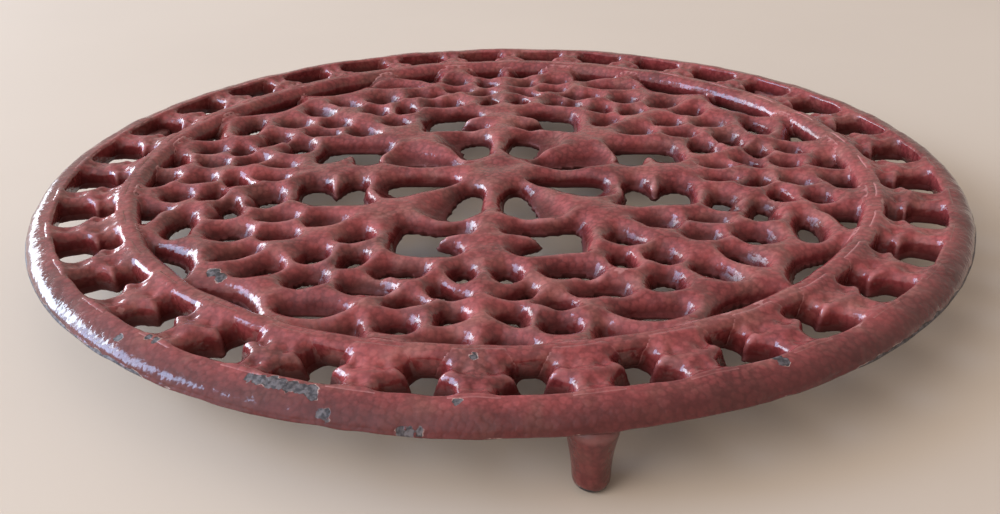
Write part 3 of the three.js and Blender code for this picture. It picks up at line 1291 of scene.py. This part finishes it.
def add_node(tree: bpy.types.NodeTree, kind: str, settings: dict | None = None,
             inputs: dict | None = None) -> bpy.types.Node:
    """Adds a node with its settings, values and links.

    Args:
        tree: the node tree.
        kind: node type.
        settings: node properties and their values.
        inputs: input names or numbers, each with a value or a socket to link from.

    Returns:
        The node.
    """
    node = tree.nodes.new(kind)
    for name, value in (settings or {}).items():
        setattr(node, name, value)
    for name, value in (inputs or {}).items():
        if isinstance(value, bpy.types.NodeSocket):
            tree.links.new(value, node.inputs[name])
        else:
            node.inputs[name].default_value = value
    return node


@dataclass(frozen=True)
class Band:
    """A smooth step: the readings where it starts and ends, and its values there."""

    start: float
    end: float
    low: float = 0.0
    high: float = 1.0


@dataclass(frozen=True)
class Grain:
    """Random swells: their size in millimetres, and how many finer ones each carries."""

    size: float
    detail: float = 2.0


@dataclass(frozen=True)
class Relief:
    """Relief in the normal: its depth in millimetres, and its strength from 0 to 1."""

    depth: float
    strength: float


class Shade:
    """A new material, with short forms of the shader nodes that the finishes use."""

    def __init__(self, name: str) -> None:
        """Starts an empty material.

        Args:
            name: the real finish.
        """
        self.material = bpy.data.materials.new(name)
        self.material.use_nodes = True
        self.tree = self.material.node_tree
        self.tree.nodes.clear()

    def place(self) -> bpy.types.NodeSocket:
        """Object coordinates in millimetres."""
        where = add_node(self.tree, "ShaderNodeTexCoord").outputs["Object"]
        scaled = add_node(self.tree, "ShaderNodeVectorMath", {"operation": "SCALE"},
                          {0: where, "Scale": 1 / MM})
        return scaled.outputs[0]

    def math(self, operation: str, *values: object, clamp: bool = False) -> bpy.types.NodeSocket:
        """Result of a sum on up to three values."""
        return add_node(self.tree, "ShaderNodeMath", {"operation": operation, "use_clamp": clamp},
                        dict(enumerate(values))).outputs[0]

    def product(self, first: object, second: object) -> bpy.types.NodeSocket:
        """One value times another."""
        return self.math("MULTIPLY", first, second)

    def highest(self, first: object, second: object) -> bpy.types.NodeSocket:
        """The higher of two values."""
        return self.math("MAXIMUM", first, second)

    def scaled(self, value: object, factor: object, offset: object) -> bpy.types.NodeSocket:
        """A value times a factor, plus an offset."""
        return self.math("MULTIPLY_ADD", value, factor, offset)

    def ramp(self, value: object, band: Band) -> bpy.types.NodeSocket:
        """Smooth step of a reading, held at its values past both ends."""
        return add_node(self.tree, "ShaderNodeMapRange", {"interpolation_type": "SMOOTHSTEP"},
                        {"Value": value, "From Min": band.start, "From Max": band.end,
                         "To Min": band.low, "To Max": band.high}).outputs[0]

    def noise(self, spot: object, grain: Grain, output: int = 0) -> bpy.types.NodeSocket:
        """Random swells: output 0 is one value from 0 to 1, and output 1 three of them."""
        node = add_node(self.tree, "ShaderNodeTexNoise", None,
                        {"Vector": spot, "Scale": 1 / grain.size, "Detail": grain.detail})
        return node.outputs[output]

    def patches(self, spot: object, grain: Grain, band: Band) -> bpy.types.NodeSocket:
        """Random patches: 1 inside a patch and 0 between them, or the band's own values."""
        return self.ramp(self.noise(spot, grain), band)

    def axis(self, vector: object, name: str) -> bpy.types.NodeSocket:
        """One of a vector's parts, X, Y or Z."""
        return add_node(self.tree, "ShaderNodeSeparateXYZ", None, {0: vector}).outputs[name]

    def mix(self, share: object, first: object, second: object) -> bpy.types.NodeSocket:
        """Mixes two colours.

        Args:
            share: how much there is of the second, from 0 to 1.
            first: a hex colour or a socket.
            second: a hex colour or a socket.

        Returns:
            The mixed colour.
        """
        tints = [linear_colour(tint) if isinstance(tint, str) else tint for tint in (first, second)]
        node = add_node(self.tree, "ShaderNodeMix", {"data_type": "RGBA"},
                        {0: share, COLOUR_A: tints[0], COLOUR_B: tints[1]})
        return node.outputs[COLOUR_OUT]

    def bump(self, height: object, relief: Relief,
             under: bpy.types.NodeSocket | None = None) -> bpy.types.NodeSocket:
        """Adds relief to the normal.

        Args:
            height: 0 to 1.
            relief: its depth and strength.
            under: normal of the relief below it.

        Returns:
            The bumped normal.
        """
        given = {"Height": height, "Distance": relief.depth * MM, "Strength": relief.strength}
        if under is not None:
            given["Normal"] = under
        return add_node(self.tree, "ShaderNodeBump", None, given).outputs[0]

    def finish(self, **inputs: object) -> bpy.types.Material:
        """Ends the tree in one shader.

        Args:
            inputs: the shader's sockets, in lower case with underscores, each with a value or a
                socket to link from.

        Returns:
            The material.
        """
        given = {name.replace("_", " ").title().replace("Ior", "IOR"): value
                 for name, value in inputs.items()}
        shader = add_node(self.tree, "ShaderNodeBsdfPrincipled", None, given)
        add_node(self.tree, "ShaderNodeOutputMaterial", None, {"Surface": shader.outputs[0]})
        return self.material


@dataclass(frozen=True)
class Chip:
    """A place where the enamel has broken off: where it is and how wide, in millimetres."""

    x: float
    y: float
    z: float
    radius: float


CHIPS = (
    Chip(-37.6, -97.6, 17.0, 1.2),
    Chip(-35.8, -98.4, 17.1, 1.5),
    Chip(-34.0, -99.1, 17.2, 1.5),
    Chip(-32.2, -99.8, 17.2, 1.5),
    Chip(-30.4, -100.4, 17.3, 1.5),
    Chip(-28.6, -100.9, 17.3, 1.4),
    Chip(-26.9, -101.6, 17.3, 1.5),
    Chip(-26.3, -103.0, 17.6, 1.0),
    Chip(-24.1, -106.7, 16.8, 1.3),
    Chip(-23.6, -107.9, 15.9, 1.0),
    Chip(-11.6, -109.0, 15.0, 0.8),
    Chip(-9.9, -109.2, 15.0, 0.9),
    Chip(-8.3, -109.3, 15.0, 0.8),
    Chip(50.5, -90.1, 17.0, 1.3),
    Chip(51.6, -91.4, 17.4, 1.2),
    Chip(-0.8, -91.0, 17.5, 0.8),
    Chip(-2.7, -104.4, 17.7, 0.7),
    Chip(-55.4, -57.9, 16.4, 1.5),
    Chip(-53.6, -59.4, 16.4, 1.2),
    Chip(-57.2, -86.4, 17.2, 1.0),
    Chip(-59.0, -85.5, 17.2, 0.9),
    Chip(-64.6, -84.9, 16.8, 1.0),
)


@dataclass(frozen=True)
class Wear:
    """Broken enamel: what is bare, how ragged its edge is, and how the iron under it looks.

    A distance is in millimetres from the broken edge, and negative inside it.
    """

    iron: str = "#5c5557"
    iron_dark: str = "#2d282b"
    crack: str = "#211715"
    flake: str = "#cdb5aa"
    bare: Band = Band(0.06, -0.06)  # where the iron begins
    iron_grain: Grain = Grain(0.9, 4.0)
    iron_light: Band = Band(0.38, 0.62)
    crack_run: Band = Band(-0.3, -0.05)
    crack_grain: Grain = Grain(1.4, 1.0)
    cracked: Band = Band(0.48, 0.6)
    flake_run: Band = Band(0.18, 0.06, 0.0, 0.55)
    flake_grain: Grain = Grain(2.4, 1.0)
    flaked: Band = Band(0.46, 0.58)
    chip_grain: Grain = Grain(1.3, 4.0)
    chip_ragged: float = 1.9  # how far a chip's edge wanders
    tip_grain: Grain = Grain(2.0, 3.0)
    tip_worn: float = 2.4  # how high up a foot the iron can show
    edge_grain: Grain = Grain(4.0, 4.0)
    edge_worn: float = 2.6  # how far the worn line's width wanders
    edge_above: float = 0.1  # how far the line lies above the rim's thin edge
    edge_left: Band = Band(-64.0, -48.0, -0.55, -1.7)  # how wide the line is, by x, at the left
    edge_right: Band = Band(55.0, 80.0, 0.0, 1.1)  # how much wider, by x, at the right


@dataclass(frozen=True)
class VitreousEnamel:
    """Vitreous enamel, dipped and fired on cast iron: a glassy coat over an uneven ground.

    It gives a wet gloss with soft orange peel, and close light and dark mottling of 1 to 2 mm
    where the glass has drawn together. It is paler on edges, where it is thin. Painted shade
    darkens it on low steep walls, low in the holes, out across the rim and on the feet. Broken
    spots show grainy grey iron.
    """

    name: str = "oxblood vitreous enamel"
    light: str = "#9b4747"
    dark: str = "#571c1f"
    tan_light: str = "#9b6158"
    tan_dark: str = "#592f2b"
    lip: str = "#b8807d"
    # Painted shade colour, mixed in on low steep walls, low in the holes, across the rim and on the
    # feet
    painted_shade_colour: str = "#3a1413"
    ior: float = 1.52
    roughness: float = 0.16
    iron_roughness: float = 0.6
    specular: float = 0.5
    shaded_specular: float = 0.18
    wear: Wear = Wear()
    on_foot: bool = False
    # The mottling: cells in a net, fine grain and wide clouds, and how much each counts.
    cell: float = 1.3  # size of a mottled cell, drawn at its real size
    cell_bend: Grain = Grain(2.2, 2.0)
    cell_soft: float = 0.35
    cell_random: float = 0.85
    cell_light: Band = Band(0.66, 0.3)
    cell_share: float = 0.3
    fine: Grain = Grain(0.55, 3.0)
    fine_share: float = 0.55
    cloud: Grain = Grain(11.0, 3.0)
    cloud_share: float = 1.2
    cloud_mean: float = -0.5
    mix_mean: float = 0.1
    tan: Grain = Grain(8.0, 3.0)
    tan_band: Band = Band(0.46, 0.68, 0.0, 0.6)
    # Where the coat is thin, by the form's edges; and painted shade, by its slope, height and radius.
    lip_band: Band = Band(0.515, 0.575, 0.0, 0.5)
    # Painted shade on steep walls, stronger lower down
    wall_slope: Band = Band(0.75, 0.15, 0.0, 0.9)
    wall_depth: Band = Band(CASTING.rim_crest - 0.8, CASTING.underside + 1.0)
    wall_low_share: float = 0.75
    wall_high_share: float = 0.25
    # Painted shade low in the holes, whichever way the surface faces
    hollow: Band = Band(CASTING.lace_top - 0.9, CASTING.underside + 1.6, 0.0, 0.72)
    # Painted shade across the rim, darker towards its outer edge
    outer: Band = Band(CASTING.rim_inner, CASTING.disc_radius - 1.0, 0.0, 0.72)
    # Painted shade over the whole of each foot, under the disc
    foot_dark: float = 0.6
    # Where it shines less: low on the disc, and on the walls inside the rim.
    dull: Band = Band(CASTING.underside + 2.2, CASTING.underside + 0.6)
    inside_rim: Band = Band(CASTING.rim_inner + 1.0, CASTING.rim_inner - 0.5)
    low_wall: Band = Band(CASTING.lace_top - 0.6, CASTING.underside + 1.8)
    # Its relief, from the ground up.
    peel: Grain = Grain(2.6, 2.0)  # swells of the orange peel
    peel_relief: Relief = Relief(0.34, 0.6)
    cell_relief: Relief = Relief(0.05, 0.5)
    chip_sunk: float = -0.8  # depth of a chip, as a share of its relief
    chip_relief: Relief = Relief(0.14, 0.6)

    @property
    def disc(self) -> float:
        """1 on the disc and 0 on the feet."""
        return 0.0 if self.on_foot else 1.0

    def build(self) -> bpy.types.Material:
        """Makes the material.

        Returns:
            A material that reads Object coordinates.
        """
        shade = Shade(self.name)
        spot = shade.place()
        x, y, z = (shade.axis(spot, name) for name in "XYZ")
        radius = shade.math("SQRT", shade.math("ADD", shade.product(x, x), shade.product(y, y)))
        grain = shade.noise(spot, self.fine)
        mottle = self.mottle(shade, spot)
        broken = self.broken_distance(shade, spot, (x, z), radius)
        bare = shade.ramp(broken, self.wear.bare)
        flaked = shade.product(shade.ramp(broken, self.wear.flake_run),
                               shade.patches(spot, self.wear.flake_grain, self.wear.flaked))
        coat = shade.mix(flaked, self.coat(shade, spot, mottle, grain, radius), self.wear.flake)
        colour = shade.mix(bare, coat, self.bare_iron(shade, spot, broken))
        peel = shade.bump(shade.noise(spot, self.peel), self.peel_relief)
        drawn = shade.bump(mottle, self.cell_relief, peel)
        sunk = shade.scaled(bare, self.chip_sunk, shade.product(grain, bare))
        normal = shade.bump(sunk, self.chip_relief, drawn)
        dull = shade.product(self.disc, shade.ramp(z, self.dull))
        walls = shade.product(shade.ramp(radius, self.inside_rim),
                              shade.product(self.disc, shade.ramp(z, self.low_wall)))
        gloss = Band(0.0, 1.0, self.roughness, self.iron_roughness)
        shine = Band(0.0, 1.0, self.specular, self.shaded_specular)
        level = self.specular if self.on_foot else shade.ramp(shade.highest(dull, walls), shine)
        return shade.finish(base_color=colour, ior=self.ior, normal=normal,
                            specular_ior_level=level,
                            roughness=shade.ramp(shade.highest(bare, dull), gloss))

    def mottle(self, shade: Shade, spot: bpy.types.NodeSocket) -> bpy.types.NodeSocket:
        """Draws round light cells in a darker net.

        Args:
            shade: the material.
            spot: place in millimetres.

        Returns:
            1 in the middle of a cell and 0 in the net.
        """
        bend = shade.noise(spot, self.cell_bend, output=1)
        bent = add_node(shade.tree, "ShaderNodeVectorMath", {"operation": "ADD"},
                        {0: bend, 1: spot}).outputs[0]
        cells = add_node(shade.tree, "ShaderNodeTexVoronoi", {"feature": "SMOOTH_F1"},
                         {"Vector": bent, "Scale": 1 / self.cell, "Smoothness": self.cell_soft,
                          "Randomness": self.cell_random})
        return shade.ramp(cells.outputs["Distance"], self.cell_light)

    def coat(self, shade: Shade, spot: bpy.types.NodeSocket, mottle: bpy.types.NodeSocket,
             grain: bpy.types.NodeSocket, radius: bpy.types.NodeSocket) -> bpy.types.NodeSocket:
        """Colour of the whole coat: mottled, with painted shade low down, on the rim and on the feet.

        Args:
            shade: the material.
            spot: place in millimetres.
            mottle: the cells.
            grain: fine noise.
            radius: distance from the axis.

        Returns:
            The colour.
        """
        cloud = shade.scaled(shade.noise(spot, self.cloud), self.cloud_share, self.cloud_mean)
        fine = shade.math("SUBTRACT", shade.scaled(grain, self.fine_share, cloud), self.mix_mean)
        mixed = shade.math("MULTIPLY_ADD", mottle, self.cell_share, fine, clamp=True)
        red = shade.mix(mixed, self.dark, self.light)
        tan = shade.mix(mixed, self.tan_dark, self.tan_light)
        body = shade.mix(shade.patches(spot, self.tan, self.tan_band), red, tan)
        form = add_node(shade.tree, "ShaderNodeNewGeometry").outputs
        raised = shade.mix(shade.ramp(form["Pointiness"], self.lip_band), body, self.lip)
        height = shade.axis(spot, "Z")
        # Painted shade on steep walls, stronger lower down
        low = shade.scaled(shade.ramp(height, self.wall_depth), self.wall_low_share,
                           self.wall_high_share)
        walls = shade.product(shade.ramp(shade.axis(form["Normal"], "Z"), self.wall_slope), low)
        # Painted shade low in the holes, and out across the rim
        painted_shade_share = shade.highest(walls, shade.ramp(height, self.hollow))
        painted_shade_share = shade.highest(painted_shade_share, shade.ramp(radius, self.outer))
        # Painted shade on the disc as above; on the feet, painted shade all over
        dark = shade.highest(shade.product(self.disc, painted_shade_share), self.foot_dark * (1 - self.disc))
        return shade.mix(dark, raised, self.painted_shade_colour)

    def bare_iron(self, shade: Shade, spot: bpy.types.NodeSocket,
                  broken: bpy.types.NodeSocket) -> bpy.types.NodeSocket:
        """Colour of the iron where the enamel is gone, with dark cracks along the edge.

        Args:
            shade: the material.
            spot: place in millimetres.
            broken: distance to the broken edge, negative inside it.

        Returns:
            The colour.
        """
        wear = self.wear
        pale = shade.product(self.disc, shade.patches(spot, wear.iron_grain, wear.iron_light))
        cracked = shade.product(shade.ramp(broken, wear.crack_run),
                                shade.patches(spot, wear.crack_grain, wear.cracked))
        return shade.mix(cracked, shade.mix(pale, wear.iron_dark, wear.iron), wear.crack)

    def broken_distance(self, shade: Shade, spot: bpy.types.NodeSocket,
                        across: tuple[bpy.types.NodeSocket, bpy.types.NodeSocket],
                        radius: bpy.types.NodeSocket) -> bpy.types.NodeSocket:
        """Distance to the nearest broken edge: of a chip, the rim's worn line or a foot's worn tip.

        Args:
            shade: the material.
            spot: place in millimetres.
            across: its x and z.
            radius: distance from the axis.

        Returns:
            Distance in millimetres, negative where the iron is bare.
        """
        nearest = None
        for chip in CHIPS:
            gap = add_node(shade.tree, "ShaderNodeVectorMath", {"operation": "DISTANCE"},
                           {0: spot, 1: (chip.x, chip.y, chip.z)}).outputs["Value"]
            edge = shade.math("SUBTRACT", gap, chip.radius)
            nearest = edge if nearest is None else shade.math("MINIMUM", nearest, edge)
        wear = self.wear
        ragged = shade.scaled(shade.noise(spot, wear.chip_grain), wear.chip_ragged,
                              -wear.chip_ragged / 2)
        chips = shade.math("ADD", nearest, ragged)
        x, z = across
        level = CASTING.underside + Rim.edge_lift + wear.edge_above
        away = shade.math("ADD", shade.math("SUBTRACT", CASTING.disc_radius, radius),
                          shade.math("ABSOLUTE", shade.math("SUBTRACT", z, level)))
        hold = shade.math("ADD", shade.ramp(x, wear.edge_left), shade.ramp(x, wear.edge_right))
        worn = shade.scaled(shade.noise(spot, wear.edge_grain), wear.edge_worn, hold)
        line = shade.math("SUBTRACT", away, worn)
        tip = shade.scaled(shade.noise(spot, wear.tip_grain), -wear.tip_worn, z)
        return shade.math("MINIMUM", shade.math("MINIMUM", chips, line), tip)


@dataclass(frozen=True)
class PaleGround:
    """Matt painted studio board: an even pale ground that only takes the shadow."""

    name: str = "matt pale studio board"
    colour: str = "#c2b3a3"
    roughness: float = 0.75
    cloud: Grain = Grain(110.0, 3.0)
    tones: Band = Band(0.0, 1.0, 0.97, 1.03)

    def build(self) -> bpy.types.Material:
        """Makes the material.

        Returns:
            A material that reads Object coordinates.
        """
        shade = Shade(self.name)
        tone = shade.patches(shade.place(), self.cloud, self.tones)
        colour = add_node(shade.tree, "ShaderNodeHueSaturation", None,
                          {"Value": tone, "Color": linear_colour(self.colour)}).outputs[0]
        return shade.finish(base_color=colour, roughness=self.roughness)


@dataclass(frozen=True)
class Lamp:
    """A soft rectangular lamp, aimed at the trivet: its place and sizes are in millimetres.

    One that isn't mirrored gives light but no highlight.
    """

    name: str
    place: tuple[float, float, float]
    wide: float
    tall: float
    watts: float
    colour: tuple[float, float, float]
    mirrored: bool = True

    def build(self) -> bpy.types.Object:
        """Makes the lamp.

        Returns:
            The lamp object.
        """
        light = bpy.data.lights.new(self.name, "AREA")
        light.shape = "RECTANGLE"
        light.size = self.wide * MM
        light.size_y = self.tall * MM
        light.energy = self.watts
        light.color = self.colour
        lamp = bpy.data.objects.new(self.name, light)
        lamp.visible_glossy = self.mirrored
        lamp.location = Vector(self.place) * MM
        aim = Vector((0, 0, CASTING.underside * MM)) - lamp.location
        lamp.rotation_euler = aim.to_track_quat("-Z", "Y").to_euler()
        bpy.context.scene.collection.objects.link(lamp)
        return lamp


@dataclass(frozen=True)
class Studio:
    """Pale floor, soft light from a window on the left, and the camera at the photograph's angle.

    Places and sizes are in millimetres.
    """

    camera_place: tuple[float, float, float] = (11.01, -245.39, 113.45)
    heading: float = 92.61  # way that the camera looks, anticlockwise from +X, in degrees
    dip: float = 26.39  # how far it looks down, in degrees
    roll: float = -0.93  # how far it is turned about its own axis, in degrees
    lens: float = 38.16
    sensor: float = 36.0
    clip_start: float = 10.0
    floor_half: float = 4000.0
    sky: str = "#e2e4ea"
    far_sky: str = "#dccdc2"
    bright_side: tuple[float, float, float] = (-0.84, -0.17, 0.51)  # way to the window
    sky_band: Band = Band(0.1, 0.95)  # how far a direction has to agree with that to be bright
    sky_bright: float = 1.5
    sky_dim: float = 0.7
    lamps: tuple[Lamp, ...] = (
        Lamp("warm wall", (-1270, -960, 860), 1300, 1400, 24.0, (1.0, 0.94, 0.88), mirrored=False),
        Lamp("left window pane", (-1600, -70, 690), 620, 1240, 22.0, (0.45, 0.65, 1.0)),
        Lamp("middle window pane", (-1500, 600, 410), 600, 760, 19.0, (0.66, 0.82, 1.0)),
        Lamp("back window pane", (-1190, 1070, 260), 440, 440, 4.5, (0.8, 0.9, 1.0)),
    )

    def build(self) -> None:
        """Sets up floor, world, lamps and camera."""
        self.add_floor()
        self.add_world()
        for lamp in self.lamps:
            lamp.build()
        self.add_camera()
        bpy.context.scene.view_settings.view_transform = "Standard"

    def add_floor(self) -> None:
        """Makes the floor, which takes the shadow."""
        half = self.floor_half
        corners = [(-half, -half, 0), (half, -half, 0), (half, half, 0), (-half, half, 0)]
        new_mesh("floor", np.array(corners, float), [(0, 1, 2, 3)], PaleGround().build())

    def add_world(self) -> None:
        """Makes the even light of the room, brighter and cooler towards the window."""
        world = bpy.data.worlds.new("room light")
        world.use_nodes = True
        tree = world.node_tree
        tree.nodes.clear()
        way = add_node(tree, "ShaderNodeTexCoord").outputs["Generated"]
        facing = add_node(tree, "ShaderNodeVectorMath", {"operation": "DOT_PRODUCT"},
                          {0: way, 1: self.bright_side}).outputs["Value"]
        share = add_node(tree, "ShaderNodeMapRange", {"interpolation_type": "SMOOTHSTEP"},
                         {"Value": facing, "From Min": self.sky_band.start,
                          "From Max": self.sky_band.end}).outputs[0]
        level = add_node(tree, "ShaderNodeMapRange", None,
                         {"Value": share, "To Min": self.sky_dim,
                          "To Max": self.sky_bright}).outputs[0]
        tint = add_node(tree, "ShaderNodeMix", {"data_type": "RGBA"},
                        {0: share, COLOUR_A: linear_colour(self.far_sky),
                         COLOUR_B: linear_colour(self.sky)}).outputs[COLOUR_OUT]
        light = add_node(tree, "ShaderNodeBackground", None, {"Color": tint, "Strength": level})
        add_node(tree, "ShaderNodeOutputWorld", None, {"Surface": light.outputs[0]})
        bpy.context.scene.world = world

    def add_camera(self) -> None:
        """Makes the camera, which looks the way that its heading, dip and roll say, in degrees."""
        camera = bpy.data.cameras.new("camera")
        camera.lens = self.lens
        camera.sensor_width = self.sensor
        camera.clip_start = self.clip_start * MM
        stand = bpy.data.objects.new("camera", camera)
        heading, dip, roll = (math.radians(a) for a in (self.heading, self.dip, self.roll))
        level = math.cos(dip)
        ahead = Vector((math.cos(heading) * level, math.sin(heading) * level, -math.sin(dip)))
        right = Vector((math.sin(heading), -math.cos(heading), 0))
        up = right.cross(ahead)
        side = right * math.cos(roll) + up * math.sin(roll)
        top = up * math.cos(roll) - right * math.sin(roll)
        turn = Matrix((side, top, -ahead)).transposed().to_4x4()
        stand.matrix_world = Matrix.Translation(Vector(self.camera_place) * MM) @ turn
        bpy.context.scene.collection.objects.link(stand)
        bpy.context.scene.camera = stand


@dataclass
class Trivet:
    """The whole casting, dressed."""

    plan: Casting

    def build(self) -> list[bpy.types.Object]:
        """Makes every piece and ties it to its nodes.

        Returns:
            The finished pieces.
        """
        enamel = VitreousEnamel().build()
        foot_enamel = VitreousEnamel("oxblood vitreous enamel of the feet", on_foot=True).build()
        bead = Bead(self.plan)
        rim = Rim(self.plan)
        lace = Lace(self.plan, bead)
        bars = BorderBars(self.plan, bead, rim)
        feet = Feet(self.plan)
        bar_nodes = [f"border_bar_{n:02d}" for n in range(1, bars.count + 1)]
        foot_nodes = [f"foot_{n}" for n in range(1, feet.count + 1)]
        made = []
        for part, slot, nodes in ((lace, Slot.BODY, ["lace_panel"]), (bead, Slot.BODY, ["bead_ring"]),
                                  (rim, Slot.BODY, ["outer_rim"]), (bars, Slot.BODY, bar_nodes),
                                  (feet, Slot.FOOT, foot_nodes)):
            piece = part.build(foot_enamel if slot is Slot.FOOT else enamel)
            seat(piece, nodes)
            made.append(piece)
        return made


def main() -> None:
    """Builds the studio and the trivet."""
    logging.basicConfig(level=logging.INFO, format="%(name)s: %(message)s")
    Studio().build()
    Trivet(CASTING).build()


if __name__ == "__main__":
    main()
